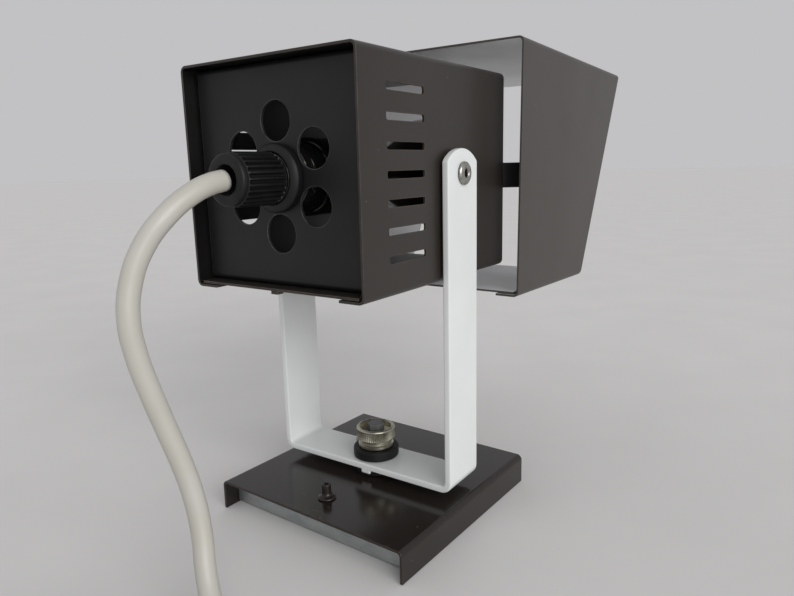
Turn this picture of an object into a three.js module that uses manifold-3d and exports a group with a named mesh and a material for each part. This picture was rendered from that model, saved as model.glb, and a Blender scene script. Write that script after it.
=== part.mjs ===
// A small adjustable box spot lamp: folded base, strap yoke, square housing and offset square hood.
// Millimetres, +Z up. The base stands on z = 0, and the lamp shines towards -Y.
import * as THREE from 'three';
import { mergeVertices } from 'three/addons/utils/BufferGeometryUtils.js';
import Module from 'manifold-3d';

const wasm = await Module();
wasm.setup();

// ---- driving dimensions ----
const GAP = 0.3; // clearance between pieces that touch
const HEX_CORNERS = 1.1547; // a hexagon's width over its corners, for a width of 1 over its flats
const BASE = { width: 100, depth: 98, height: 13.5, sheet: 1.2, bend: 2.5 };
const BASE_TURN = THREE.MathUtils.degToRad(-2); // the yoke isn't quite square to the base
const PLATE = { width: 96.6, depth: 84, height: 11.9, sheet: 1.2 };
const YOKE = { outer: 46.2, bar: 3, width: 23, foot: 17.3, bend: 5, tipRadius: 16, top: 157 };
const PIVOT_HEIGHT = 147.5;
const RIVET = { hole: 5.4, shank: 4.8, head: 9, headHeight: 1.6, bore: 2.6, tail: 7 };
const HOUSING = { size: 83.5, front: -44.6, rear: 59.4, sheet: 1, bend: 2.5, lip: 11 };
const HOOD = { size: 109, rear: -35.3, top: 133, bottom: 80.4, sheet: 1, bend: 2.5, lip: 11 };
const HOOD_TILT = THREE.MathUtils.degToRad(1.3); // nose down, about the straps
const STRAP = { height: 11, sheet: 1, z: -1.8 };
const SLOT = { count: 7, pitch: 9.65, length: 23.5, width: 2.5, y: 32.4, z: 0.4 };
const REAR = { y: 53.4, sheet: 1, flange: 8, vents: 6, ventRadius: 7.1, ventCircle: 20, neckHole: 9.3 };
const BOLT = { shank: 6, head: 10, headHeight: 4.2, cap: 7, capTop: 36, hole: 6.7 };
const WASHER = { lower: 20, upper: 20.8, upperHeight: 4.3 };
const NUT = { collar: 16.1, collarTop: 29.2, knurl: 17.7, top: 34.4, teeth: 60, cup: 14.2, cupFloor: 30.4 };
const EARTH_Y = 48; // the earth screw's place, just inside the rear plate
const STUD = { y: 34.3, tube: 4, bore: 2, flange: 7.8, top: 20 };
const GLAND = { collar: 24.6, nut: 18.7, ring: 17.5, nutStart: 58.4, nutEnd: 75.6, end: 78, flutes: 28 };
const CORD = 7.2; // outer diameter of the flex
const COIL = { x: -31.2, y: 175.4, mean: 6 * CORD, across: 3, layers: 2 };
const PLUG = { body: 37, bodyLength: 30, relief: 20, pin: 4.8, pinLength: 19, pinSpacing: 19 };

// The flex from the cord grip down to the table and along it towards the coil.
const CORD_ROUTE = [
  [0, 78.4, 147.5],
  [0.2, 83.9, 146.5],
  [1.1, 91.1, 143.6],
  [3.4, 99.2, 137.5],
  [7.2, 105.7, 128.3],
  [9.2, 110, 117.5],
  [9.2, 112, 106],
  [8.5, 110.9, 94],
  [7, 108.3, 81.6],
  [5.3, 105.2, 69],
  [3.1, 102.3, 56.5],
  [0.6, 100.6, 44],
  [-2, 100.8, 32],
  [-5.5, 103.2, 20.8],
  [-11.7, 106.5, 12.1],
  [-19.4, 110.2, 6.7],
  [-28.2, 114.6, 4.1],
  [-33, 117.3, 3.8],
];

// ---- materials ----
const paint = (color, roughness, metalness = 0) =>
  new THREE.MeshStandardMaterial({ color, roughness, metalness });
const brownPaint = paint('#4b4641', 0.45);
const whitePaint = paint('#dcdcd8', 0.5);
const blackPaint = paint('#2b2c2c', 0.5);
const blackPlastic = paint('#1d1d1d', 0.4);
const zinc = paint('#9a9d9c', 0.4, 1);
const nickel = paint('#b5b09f', 0.3, 1);
const brass = paint('#b08d4a', 0.35, 1);
const whiteFlex = paint('#e4e2da', 0.5);
const ceramic = paint('#d9d5c8', 0.6);
const glass = paint('#e8e8e4', 0.2);

// ---- joining and cutting ----
function toSolid(geometry) {
  const bare = geometry.clone();
  bare.deleteAttribute('normal');
  bare.deleteAttribute('uv');
  const merged = mergeVertices(bare, 1e-4);
  const vertProperties = new Float32Array(merged.attributes.position.array);
  const triVerts = new Uint32Array(merged.index.array);
  return new wasm.Manifold(new wasm.Mesh({ numProp: 3, vertProperties, triVerts }));
}

function toGeometry(solid) {
  const mesh = solid.getMesh();
  const geometry = new THREE.BufferGeometry();
  geometry.setAttribute('position', new THREE.BufferAttribute(mesh.vertProperties, 3));
  geometry.setIndex(new THREE.BufferAttribute(mesh.triVerts, 1));
  geometry.computeVertexNormals();
  return geometry;
}

const cut = (geometry, ...tools) =>
  toGeometry(tools.reduce((solid, tool) => solid.subtract(toSolid(tool)), toSolid(geometry)));
const join = (geometry, ...others) =>
  toGeometry(others.reduce((solid, other) => solid.add(toSolid(other)), toSolid(geometry)));
const common = (geometry, other) => toGeometry(toSolid(geometry).intersect(toSolid(other)));

// ---- basic shapes ----
function block(x0, x1, y0, y1, z0, z1) {
  const geometry = new THREE.BoxGeometry(x1 - x0, y1 - y0, z1 - z0);
  return geometry.translate((x0 + x1) / 2, (y0 + y1) / 2, (z0 + z1) / 2);
}

function rodAlongZ(diameter, z0, z1, sides = 32) {
  const geometry = new THREE.CylinderGeometry(diameter / 2, diameter / 2, z1 - z0, sides);
  return geometry.rotateX(Math.PI / 2).translate(0, 0, (z0 + z1) / 2);
}

function rodAlongX(diameter, x0, x1, y = 0, z = 0, sides = 32) {
  const geometry = new THREE.CylinderGeometry(diameter / 2, diameter / 2, x1 - x0, sides);
  return geometry.rotateZ(Math.PI / 2).translate((x0 + x1) / 2, y, z);
}

function rodAlongY(diameter, y0, y1, x = 0, z = 0, sides = 32) {
  const geometry = new THREE.CylinderGeometry(diameter / 2, diameter / 2, y1 - y0, sides);
  return geometry.translate(x, (y0 + y1) / 2, z);
}

// A turned piece about Z from [radius, z] pairs that start and end on the axis or close on themselves.
function turned(pairs, sides = 48) {
  const points = pairs.map(([radius, z]) => new THREE.Vector2(radius, z));
  return new THREE.LatheGeometry(points, sides).rotateX(Math.PI / 2);
}

// The same about Y, from [radius, y] pairs.
const turnedAlongY = (pairs, sides = 48) => turned(pairs, sides).rotateX(-Math.PI / 2);

function ring(outer, inner, z0, z1, sides = 48) {
  const [a, b] = [outer / 2, inner / 2];
  return turned([[b, z0], [a, z0], [a, z1], [b, z1], [b, z0]], sides);
}

function ringAlongX(outer, inner, x0, x1) {
  return ring(outer, inner, x0, x1).rotateY(Math.PI / 2);
}

// An outline in X and Z pushed along Y from y0 to y1.
function pushAlongY(outline, y0, y1) {
  const options = { depth: y1 - y0, bevelEnabled: false, curveSegments: 6 };
  return new THREE.ExtrudeGeometry(outline, options).rotateX(Math.PI / 2).translate(0, y1, 0);
}

// An outline in Y and Z pushed along X from x0 to x1.
function pushAlongX(outline, x0, x1) {
  const options = { depth: x1 - x0, bevelEnabled: false, curveSegments: 16 };
  const geometry = new THREE.ExtrudeGeometry(outline, options);
  return geometry.rotateY(Math.PI / 2).rotateX(Math.PI / 2).translate(x0, 0, 0);
}

// A toothed outline with points on the outer circle and roots on the inner one.
function toothed(outer, root, teeth) {
  const outline = new THREE.Shape();
  for (let k = 0; k < teeth * 2; k++) {
    const angle = (k * Math.PI) / teeth;
    const radius = (k % 2 ? root : outer) / 2;
    const [x, y] = [radius * Math.cos(angle), radius * Math.sin(angle)];
    if (k === 0) outline.moveTo(x, y);
    else outline.lineTo(x, y);
  }
  outline.closePath();
  return outline;
}

// ---- folded sheet ----
// Three sides of a folded square: a web on top and two walls down to z = low, in X and Z.
function channelOutline(half, top, low, sheet, bend) {
  const outline = new THREE.Shape();
  outline.moveTo(-half, low);
  outline.lineTo(-half, top - bend);
  outline.absarc(-half + bend, top - bend, bend, Math.PI, Math.PI / 2, true);
  outline.lineTo(half - bend, top);
  outline.absarc(half - bend, top - bend, bend, Math.PI / 2, 0, true);
  outline.lineTo(half, low);
  outline.lineTo(half - sheet, low);
  outline.lineTo(half - sheet, top - bend);
  outline.absarc(half - bend, top - bend, bend - sheet, 0, Math.PI / 2, false);
  outline.lineTo(-half + bend, top - sheet);
  outline.absarc(-half + bend, top - bend, bend - sheet, Math.PI / 2, Math.PI, false);
  outline.lineTo(-half + sheet, low);
  outline.closePath();
  return outline;
}

// A square tube that is open along its underside between two lips, in X and Z.
function lippedOutline(size, sheet, bend, lip) {
  const half = size / 2;
  const inner = bend - sheet;
  const outline = new THREE.Shape();
  outline.moveTo(-half + lip, -half);
  outline.lineTo(-half + bend, -half);
  outline.absarc(-half + bend, -half + bend, bend, -Math.PI / 2, Math.PI, true);
  outline.lineTo(-half, half - bend);
  outline.absarc(-half + bend, half - bend, bend, Math.PI, Math.PI / 2, true);
  outline.lineTo(half - bend, half);
  outline.absarc(half - bend, half - bend, bend, Math.PI / 2, 0, true);
  outline.lineTo(half, -half + bend);
  outline.absarc(half - bend, -half + bend, bend, 0, -Math.PI / 2, true);
  outline.lineTo(half - lip, -half);
  outline.lineTo(half - lip, -half + sheet);
  outline.lineTo(half - bend, -half + sheet);
  outline.absarc(half - bend, -half + bend, inner, -Math.PI / 2, 0, false);
  outline.lineTo(half - sheet, half - bend);
  outline.absarc(half - bend, half - bend, inner, 0, Math.PI / 2, false);
  outline.lineTo(-half + bend, half - sheet);
  outline.absarc(-half + bend, half - bend, inner, Math.PI / 2, Math.PI, false);
  outline.lineTo(-half + sheet, -half + bend);
  outline.absarc(-half + bend, -half + bend, inner, Math.PI, Math.PI * 1.5, false);
  outline.lineTo(-half + lip, -half + sheet);
  outline.closePath();
  return outline;
}

// ---- base ----
function baseCover() {
  const outline = channelOutline(BASE.width / 2, BASE.height, GAP / 2, BASE.sheet, BASE.bend);
  const cover = pushAlongY(outline, -BASE.depth / 2, BASE.depth / 2);
  const boltHole = rodAlongZ(BOLT.hole, 0, 20);
  const studHole = rodAlongZ(STUD.tube + 2 * GAP, 5, 20).translate(0, STUD.y, 0);
  return cut(cover, boltHole, studHole);
}

function wallPlate() {
  const half = PLATE.depth / 2;
  const upsideDown = channelOutline(half, 0, -PLATE.height, PLATE.sheet, 2);
  const web = pushAlongY(upsideDown, -PLATE.width / 2, PLATE.width / 2).rotateX(Math.PI);
  const plate = web.rotateZ(Math.PI / 2);
  const tools = [rodAlongZ(14, -1, 3).translate(0, -25, 0)];
  for (const side of [-1, 1]) {
    tools.push(rodAlongZ(8.5, -1, 3).translate(side * 30, -4, 0));
    tools.push(block(side * 30 - 2.2, side * 30 + 2.2, -4, 8, -1, 3));
  }
  return cut(plate, ...tools);
}

function swivelBolt() {
  const underCover = BASE.height - BASE.sheet - GAP;
  const head = rodAlongZ(BOLT.head * HEX_CORNERS, underCover - BOLT.headHeight, underCover, 6);
  return join(head, rodAlongZ(BOLT.shank, underCover - 1, 31.4));
}

function boltCap() {
  const hex = BOLT.cap * HEX_CORNERS / 2;
  const top = BOLT.capTop;
  return turned([[0, 31.7], [hex, 31.7], [hex, top - 0.6], [hex - 0.6, top], [0, top]], 6);
}

function stopStud() {
  const seat = BASE.height + GAP;
  const under = BASE.height - BASE.sheet - GAP;
  const [bore, tube, flange] = [STUD.bore / 2, STUD.tube / 2, STUD.flange / 2];
  const tail = tube + 1;
  const profile = [
    [0, under - 1], [tail, under - 1], [tail, under], [tube, under], [tube, seat], [flange, seat],
    [flange, seat + 0.7], [tube + 0.5, seat + 1.2], [tube, seat + 1.8], [tube, STUD.top - 0.3],
    [tube - 0.3, STUD.top], [bore, STUD.top], [bore, STUD.top - 4.5], [0, STUD.top - 4.5],
  ];
  return turned(profile, 28).translate(0, STUD.y, 0);
}

// ---- swivel stack ----
const lowerWasher = () => ring(WASHER.lower, BOLT.hole, BASE.height + GAP, YOKE.foot - GAP);

function upperWasher() {
  const seat = YOKE.foot + YOKE.bar + GAP;
  return ring(WASHER.upper, BOLT.hole, seat, seat + WASHER.upperHeight);
}

function knurledNut() {
  const seat = YOKE.foot + YOKE.bar + WASHER.upperHeight + 2 * GAP;
  const [bore, collar, cup] = [BOLT.hole / 2, NUT.collar / 2, NUT.cup / 2];
  const groove = collar - 0.8;
  const middle = (seat + NUT.collarTop) / 2;
  const turnedCollar = turned([
    [bore, seat], [collar - 0.3, seat], [collar, seat + 0.3], [collar, middle - 0.4],
    [groove, middle], [groove, middle + 0.5], [collar - 0.2, middle + 0.9],
    [collar - 0.2, NUT.collarTop], [bore, NUT.collarTop], [bore, seat],
  ]);
  const outline = toothed(NUT.knurl, NUT.knurl - 0.9, NUT.teeth);
  const depth = NUT.top - NUT.collarTop + 0.1;
  const knurl = new THREE.ExtrudeGeometry(outline, { depth, bevelEnabled: false });
  knurl.translate(0, 0, NUT.collarTop - 0.1);
  const hollow = turned([
    [0, NUT.collarTop - 1], [bore, NUT.collarTop - 1], [bore, NUT.cupFloor],
    [cup - 1.4, NUT.cupFloor], [cup, NUT.cupFloor + 1.2], [cup, NUT.top + 1], [0, NUT.top + 1],
  ]);
  return join(cut(knurl, hollow), turnedCollar);
}

// ---- yoke ----
function yokeStrap() {
  const { outer, bar, width, foot, bend, tipRadius, top } = YOKE;
  const upright = channelOutline(outer, -foot, -top - 1, bar, bend);
  const strap = pushAlongY(upright, -width / 2, width / 2).rotateY(Math.PI);
  const side = new THREE.Shape();
  const shoulder = Math.asin(width / 2 / tipRadius);
  side.moveTo(-width / 2, 0);
  side.lineTo(width / 2, 0);
  side.absarc(0, top - tipRadius, tipRadius, Math.PI / 2 - shoulder, Math.PI / 2 + shoulder, false);
  side.closePath();
  const rounded = common(strap, pushAlongX(side, -outer - 1, outer + 1));
  const rivetHole = rodAlongX(RIVET.hole, -outer - 1, outer + 1, 0, PIVOT_HEIGHT);
  const boltHole = rodAlongZ(BOLT.hole, 0, 30);
  const edgeNotch = rodAlongZ(11, 0, 30).translate(14, -width / 2, 0);
  const tab = block(-4.6, 0.4, width / 2 - 1.1, width / 2, foot - 1.6, foot + 1);
  return join(cut(rounded, rivetHole, boltHole, edgeNotch), tab);
}

// One hollow rivet through an arm, its spacer and the housing wall. side is -1 or 1.
function pivotRivet(side) {
  const outside = YOKE.outer + GAP;
  const inside = HOUSING.size / 2 - HOUSING.sheet - GAP;
  const [head, shank, bore, tail] = [RIVET.head, RIVET.shank, RIVET.bore, RIVET.tail].map((d) => d / 2);
  const crown = outside + RIVET.headHeight;
  const profile = [
    [0, inside - 1.4], [tail - 0.8, inside - 1.4], [tail, inside - 0.6], [tail, inside],
    [shank, inside], [shank, outside], [head, outside], [head, outside + 0.4],
    [head - 0.9, crown - 0.3], [bore + 0.8, crown], [bore, crown - 0.2], [bore, inside + 1], [0, inside + 1],
  ];
  return turned(profile, 32).rotateY((side * Math.PI) / 2);
}

function pivotSpacer(side) {
  const inner = HOUSING.size / 2 + GAP;
  const outer = YOKE.outer - YOKE.bar - GAP;
  return ringAlongX(13, RIVET.hole, ...(side > 0 ? [inner, outer] : [-outer, -inner]));
}

// ---- housing ----
function slotCutter(z) {
  const y0 = SLOT.y - SLOT.length / 2 + SLOT.width / 2;
  const y1 = SLOT.y + SLOT.length / 2 - SLOT.width / 2;
  const half = SLOT.width / 2;
  const outline = new THREE.Shape();
  outline.absarc(y1, z, half, -Math.PI / 2, Math.PI / 2, false);
  outline.absarc(y0, z, half, Math.PI / 2, Math.PI * 1.5, false);
  outline.closePath();
  const options = { depth: HOUSING.size + 4, bevelEnabled: false, curveSegments: 3 };
  const bar = new THREE.ExtrudeGeometry(outline, options).rotateY(Math.PI / 2).rotateX(Math.PI / 2);
  return bar.translate(-HOUSING.size / 2 - 2, 0, 0);
}

function housingShell() {
  const { size, front, rear, sheet, bend, lip } = HOUSING;
  const tube = pushAlongY(lippedOutline(size, sheet, bend, lip), front, rear);
  const tools = [rodAlongX(RIVET.hole, -size, size)];
  for (let k = 0; k < SLOT.count; k++) {
    tools.push(slotCutter(SLOT.z + (k - (SLOT.count - 1) / 2) * SLOT.pitch));
  }
  return cut(tube, ...tools);
}

function housingFloor() {
  const { size, front, rear, sheet } = HOUSING;
  const half = size / 2 - 2.8;
  const z = -size / 2 + sheet + GAP;
  const plate = block(-half, half, front + 0.4, rear - 0.6, z, z + 0.9);
  const tab = block(-1.6, 1.6, rear - 3.6, rear - 0.6, z - 1.2, z + 0.4);
  return cut(join(plate, tab), rodAlongZ(3.8, z - 1, z + 2).translate(0, EARTH_Y, 0));
}

function rearPlate() {
  const { y, sheet, flange, vents, ventRadius, ventCircle, neckHole } = REAR;
  const half = HOUSING.size / 2 - HOUSING.sheet - GAP;
  const low = -HOUSING.size / 2 + HOUSING.sheet + 0.9 + 2 * GAP;
  const bend = 2;
  const side = channelOutline((half - low) / 2, y, y - flange, sheet, bend);
  const folded = pushAlongY(side, -half + 0.8, half - 0.8);
  // the outline's X becomes Z, and its Z becomes Y
  folded.rotateX(-Math.PI / 2).rotateY(-Math.PI / 2).translate(0, 0, (half + low) / 2);
  const tools = [rodAlongY(neckHole * 2, y - 5, y + 5)];
  for (let k = 0; k < vents; k++) {
    const angle = Math.PI / 2 + (k * 2 * Math.PI) / vents;
    const [x, z] = [ventCircle * Math.cos(angle), ventCircle * Math.sin(angle)];
    tools.push(rodAlongY(ventRadius * 2, y - 5, y + 5, x, z));
  }
  tools.push(rodAlongZ(3.8, low - 1, low + 3).translate(0, EARTH_Y, 0));
  return cut(folded, ...tools);
}

// The brass screw that holds the rear plate to the floor and earths both.
function earthScrew() {
  const floorUnder = -HOUSING.size / 2 + HOUSING.sheet + GAP;
  const top = floorUnder + 0.9 + GAP + REAR.sheet;
  const profile = [
    [0, floorUnder - 2.5], [1.8, floorUnder - 2.4], [2.8, floorUnder - 1.6], [3.1, floorUnder - 0.6],
    [3.1, floorUnder - GAP], [1.6, floorUnder - GAP], [1.6, top + 5.2], [0, top + 5.2],
  ];
  return turned(profile, 24).translate(0, EARTH_Y, 0);
}

function earthTag() {
  const seat = -HOUSING.size / 2 + HOUSING.sheet + 0.9 + 2 * GAP + REAR.sheet + GAP;
  const eye = ring(7.4, 3.8, seat, seat + 0.8, 28).translate(0, EARTH_Y, 0);
  const barrel = block(-1.4, 1.4, 38, 45.2, seat, seat + 0.8);
  return join(eye, barrel);
}

function earthNut() {
  const seat = -HOUSING.size / 2 + HOUSING.sheet + 0.9 + 3 * GAP + REAR.sheet + 0.8 + GAP;
  return ring(6.4, 3.8, seat, seat + 2.2, 6).translate(0, EARTH_Y, 0);
}

// ---- lampholder, inside out from the rear plate ----
function holderCap() {
  const plate = REAR.y - REAR.sheet;
  const neck = REAR.neckHole - GAP;
  return turnedAlongY([
    [4, GLAND.nutStart - GAP], [neck - 1.6, GLAND.nutStart - GAP], [neck, GLAND.nutStart - 1.2],
    [neck, plate - GAP], [12.6, plate - GAP], [13, plate - 1], [13, 40], [11.4, 40],
    [11.4, 48.5], [4, 48.5], [4, GLAND.nutStart - GAP],
  ].reverse());
}

function holderCollar() {
  const [outer, inner] = [GLAND.collar / 2, REAR.neckHole];
  const [y0, y1] = [REAR.y + GAP, GLAND.nutStart - 1.4];
  return turnedAlongY([
    [inner, y0], [outer, y0], [outer, y1 - 1.2], [outer - 1.2, y1], [inner, y1], [inner, y0],
  ]);
}

function cordGripNut() {
  const { nut, ring: rim, nutStart, nutEnd, end, flutes } = GLAND;
  const bore = CORD / 2 + 0.5;
  const body = new THREE.ExtrudeGeometry(toothed(nut, nut - 1.7, flutes), {
    depth: nutEnd - nutStart,
    bevelEnabled: false,
  });
  body.rotateX(-Math.PI / 2).translate(0, nutStart, 0);
  const cap = turnedAlongY([
    [bore, nutEnd - 0.4], [rim / 2 - 1.2, nutEnd - 0.4], [rim / 2, nutEnd + 0.8], [rim / 2, end - 1.5],
    [rim / 2 - 1, end - 0.3], [rim / 2 - 2.2, end], [bore + 1, end - 0.5], [bore, end - 1.2],
    [bore, nutEnd - 0.4],
  ]);
  const hole = rodAlongY(bore * 2, nutStart - 1, nutEnd + 1, 0, 0, 48);
  return join(cut(body, hole), cap);
}

const holderSkirt = () => turnedAlongY([
  [12.8, 39.6], [12.8, 12], [13.6, 11], [14.6, 11], [14.6, 38.4], [13.4, 39.6], [12.8, 39.6],
]);

const holderInsert = () => turnedAlongY([[0, 30.5], [11.6, 30.5], [11.6, 38], [0, 38]]);

const screwShell = () => turnedAlongY([
  [7.6, 12.6], [8.3, 12.6], [8.3, 30.2], [0, 30.2], [0, 29.4], [7.6, 29.4], [7.6, 12.6],
]);

const centreContact = () => block(-1.6, 1.6, 26.9, 28.9, -3, 3);

function terminalScrew(x) {
  const head = rodAlongY(4, 38.3, 40, x, 0, 20);
  return cut(head, block(x - 3, x + 3, 39.4, 41, -0.4, 0.4));
}

// ---- wires inside the cap ----
function wire(points, diameter = 1.8) {
  const curve = new THREE.CatmullRomCurve3(points.map((p) => new THREE.Vector3(...p)));
  const section = new THREE.Shape();
  section.absarc(0, 0, diameter / 2, 0, Math.PI * 2, false);
  const options = { steps: 14, curveSegments: 4, extrudePath: curve, bevelEnabled: false };
  return new THREE.ExtrudeGeometry(section, options);
}

const liveWire = () => wire([[2, 56, 0.6], [2, 49, 0.6], [4.2, 44, 0.4], [5.6, 40.6, 0]]);
const neutralWire = () => wire([[-2, 56, 0.6], [-2, 49, 0.6], [-4.2, 44, 0.4], [-5.6, 40.6, 0]]);

// ---- bulb: a small reflector lamp ----
const bulbCap = () => turnedAlongY([
  [0, 26.4], [2.4, 26.4], [3.4, 25.4], [6.4, 24], [7.1, 22.8], [7.1, 5.3], [7.9, 4.3], [7.9, 0.3], [0, 0.3],
].reverse());

// The glass is a thin envelope, open at its neck. Its outline is drawn from the crown to the neck.
function bulbGlass() {
  const outside = [
    [8, -58.9], [15, -57.3], [20.4, -54.6], [23.6, -51], [25, -46.6], [24.8, -42],
    [23, -37], [19.6, -30], [15.6, -22], [12.6, -14.6], [10.8, -8], [10, -3], [9.6, 0],
  ];
  const wall = 1;
  const inside = outside.map(([radius, y]) => [radius - wall, y < -46 ? y + wall : y]).reverse();
  return turnedAlongY([[0, -59.4], ...outside, ...inside, [0, -59.4 + wall]], 40);
}

// ---- hood ----
function hoodShell() {
  const { size, rear, top, bottom, sheet, bend, lip } = HOOD;
  const tube = pushAlongY(lippedOutline(size, sheet, bend, lip), rear - top - 5, rear);
  const half = size / 2;
  const slant = (top - bottom) / size;
  const frontAt = (z) => rear - bottom - slant * (z + half);
  const keep = new THREE.Shape();
  keep.moveTo(rear + 5, -half - 5);
  keep.lineTo(rear + 5, half + 5);
  keep.lineTo(frontAt(half + 5), half + 5);
  keep.lineTo(frontAt(-half - 5), -half - 5);
  keep.closePath();
  return common(tube, pushAlongX(keep, -half - 5, half + 5));
}

function hoodFloor() {
  const { size, rear, bottom, sheet } = HOOD;
  const half = size / 2 - 2.8;
  const z = -size / 2 + sheet + GAP;
  return block(-half, half, rear - bottom + 0.4, rear - 0.6, z, z + 0.9);
}

// A Z-bent strap from inside a housing wall out to the hood wall. side is -1 or 1.
function hoodStrap(side) {
  const inner = HOUSING.size / 2 - HOUSING.sheet - GAP;
  const outer = HOOD.size / 2 - HOOD.sheet - GAP;
  const sheet = STRAP.sheet;
  const [back, stepIn, stepOut, front] = [-30, -47, -58, -74];
  const lean = sheet * 0.62; // keeps the step as thick as the legs
  const outline = new THREE.Shape();
  outline.moveTo(inner - sheet, back);
  outline.lineTo(inner, back);
  outline.lineTo(inner, stepIn + lean);
  outline.lineTo(outer, stepOut + lean);
  outline.lineTo(outer, front);
  outline.lineTo(outer - sheet, front);
  outline.lineTo(outer - sheet, stepOut);
  outline.lineTo(inner - sheet, stepIn);
  outline.closePath();
  const strap = new THREE.ExtrudeGeometry(outline, { depth: STRAP.height, bevelEnabled: false });
  strap.translate(0, 0, STRAP.z - STRAP.height / 2);
  return side > 0 ? strap : strap.rotateY(Math.PI).translate(0, 0, 2 * STRAP.z);
}

// ---- flex, coil and plug ----
function cordTube() {
  const curve = new THREE.CatmullRomCurve3(CORD_ROUTE.map((p) => new THREE.Vector3(...p)));
  const section = new THREE.Shape();
  section.absarc(0, 0, CORD / 2, 0, Math.PI * 2, false);
  const options = { steps: 34, curveSegments: 5, extrudePath: curve, bevelEnabled: false };
  return new THREE.ExtrudeGeometry(section, options);
}

function cordCoil() {
  const half = (COIL.across * CORD) / 2;
  const height = COIL.layers * CORD;
  const [a, b] = [COIL.mean - half, COIL.mean + half];
  const coil = turned([
    [a, 2], [a + 2, 0], [b - 2, 0], [b, 2], [b, height - 2], [b - 2, height], [a + 2, height],
    [a, height - 2], [a, 2],
  ], 56);
  return coil.translate(COIL.x, COIL.y, 0);
}

// A saddle-shaped tie across the coil on its far side from the plug.
function cordTie() {
  const half = (COIL.across * CORD) / 2 + 3 * GAP; // the ring curves inside the straight tie
  const height = COIL.layers * CORD + GAP;
  const tie = cut(
    block(-half - 1, half + 1, -5, 5, GAP, height + 1),
    block(-half, half, -6, 6, -1, height),
  );
  return tie.translate(COIL.mean, 0, 0).rotateZ(Math.PI * 0.95).translate(COIL.x, COIL.y, 0);
}

const plugStart = COIL.x + 30;
const plugY = COIL.y + COIL.mean + CORD;
const placePlug = (geometry) =>
  geometry.rotateZ(-Math.PI / 2).translate(plugStart, plugY, PLUG.body / 2);

function plugBody() {
  const { body, bodyLength, relief } = PLUG;
  const [wide, end] = [body / 2, relief + bodyLength];
  const profile = [
    [0, 0], [4.6, 0], [5.6, relief - 3], [8, relief], [13, relief + 2.4], [wide - 1, relief + 9],
    [wide, relief + 13], [wide, end - 1.2], [wide - 1.2, end], [0, end],
  ];
  const turnedBody = turnedAlongY(profile, 40);
  const sockets = [-1, 1].map((side) =>
    rodAlongY(PLUG.pin + 2 * GAP, end - 6, end + 1, 0, (side * PLUG.pinSpacing) / 2, 20));
  return placePlug(cut(turnedBody, ...sockets));
}

function plugPin(side) {
  const y0 = PLUG.relief + PLUG.bodyLength - 6 + GAP;
  const y1 = y0 + 6 + PLUG.pinLength;
  const radius = PLUG.pin / 2;
  const pin = turnedAlongY([[0, y0], [radius, y0], [radius, y1 - 1.6], [radius - 1.2, y1], [0, y1]], 20);
  return placePlug(pin.translate(0, 0, (side * PLUG.pinSpacing) / 2));
}

// ---- assembly ----
function add(group, name, geometry, material) {
  const mesh = new THREE.Mesh(geometry, material);
  mesh.name = name;
  group.add(mesh);
  return mesh;
}

function buildBase() {
  const base = new THREE.Group();
  base.rotation.z = BASE_TURN;
  add(base, 'base_cover', baseCover(), brownPaint);
  add(base, 'wall_plate', wallPlate(), zinc);
  add(base, 'swivel_bolt', swivelBolt(), zinc);
  add(base, 'bolt_cap', boltCap(), blackPlastic);
  add(base, 'stop_stud', stopStud(), brownPaint);
  add(base, 'lower_washer', lowerWasher(), blackPlastic);
  return base;
}

function buildYoke() {
  const group = new THREE.Group();
  add(group, 'yoke', yokeStrap(), whitePaint);
  add(group, 'upper_washer', upperWasher(), blackPlastic);
  add(group, 'knurled_nut', knurledNut(), nickel);
  for (const [side, name] of [[-1, 'left'], [1, 'right']]) {
    add(group, `pivot_rivet_${name}`, pivotRivet(side), zinc).position.z = PIVOT_HEIGHT;
    add(group, `pivot_spacer_${name}`, pivotSpacer(side), blackPlastic).position.z = PIVOT_HEIGHT;
  }
  return group;
}

function buildHousing() {
  const group = new THREE.Group();
  add(group, 'housing_shell', housingShell(), brownPaint);
  add(group, 'housing_floor', housingFloor(), brownPaint);
  add(group, 'rear_plate', rearPlate(), blackPaint);
  add(group, 'earth_screw', earthScrew(), brass);
  add(group, 'earth_tag', earthTag(), brass);
  add(group, 'earth_nut', earthNut(), brass);
  return group;
}

function buildLampholder() {
  const group = new THREE.Group();
  add(group, 'holder_cap', holderCap(), blackPlastic);
  add(group, 'holder_collar', holderCollar(), blackPlastic);
  add(group, 'cord_grip_nut', cordGripNut(), blackPlastic);
  add(group, 'holder_skirt', holderSkirt(), blackPlastic);
  add(group, 'holder_insert', holderInsert(), ceramic);
  add(group, 'screw_shell', screwShell(), brass);
  add(group, 'centre_contact', centreContact(), brass);
  add(group, 'terminal_screw_live', terminalScrew(5.6), brass);
  add(group, 'terminal_screw_neutral', terminalScrew(-5.6), brass);
  add(group, 'live_wire', liveWire(), paint('#6b4a2c', 0.5));
  add(group, 'neutral_wire', neutralWire(), paint('#2f5f9c', 0.5));
  add(group, 'bulb_cap', bulbCap(), brass);
  add(group, 'bulb_glass', bulbGlass(), glass).position.y = -GAP;
  return group;
}

function buildHood() {
  const group = new THREE.Group();
  const hinge = new THREE.Vector3(0, -42, STRAP.z);
  const tilted = new THREE.Group();
  tilted.rotation.x = HOOD_TILT;
  tilted.position.copy(hinge);
  for (const mesh of [
    add(tilted, 'hood_shell', hoodShell(), brownPaint),
    add(tilted, 'hood_floor', hoodFloor(), brownPaint),
  ]) {
    mesh.position.copy(hinge).negate();
  }
  group.add(tilted);
  add(group, 'hood_strap_left', hoodStrap(-1), blackPaint);
  add(group, 'hood_strap_right', hoodStrap(1), blackPaint);
  return group;
}

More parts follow.
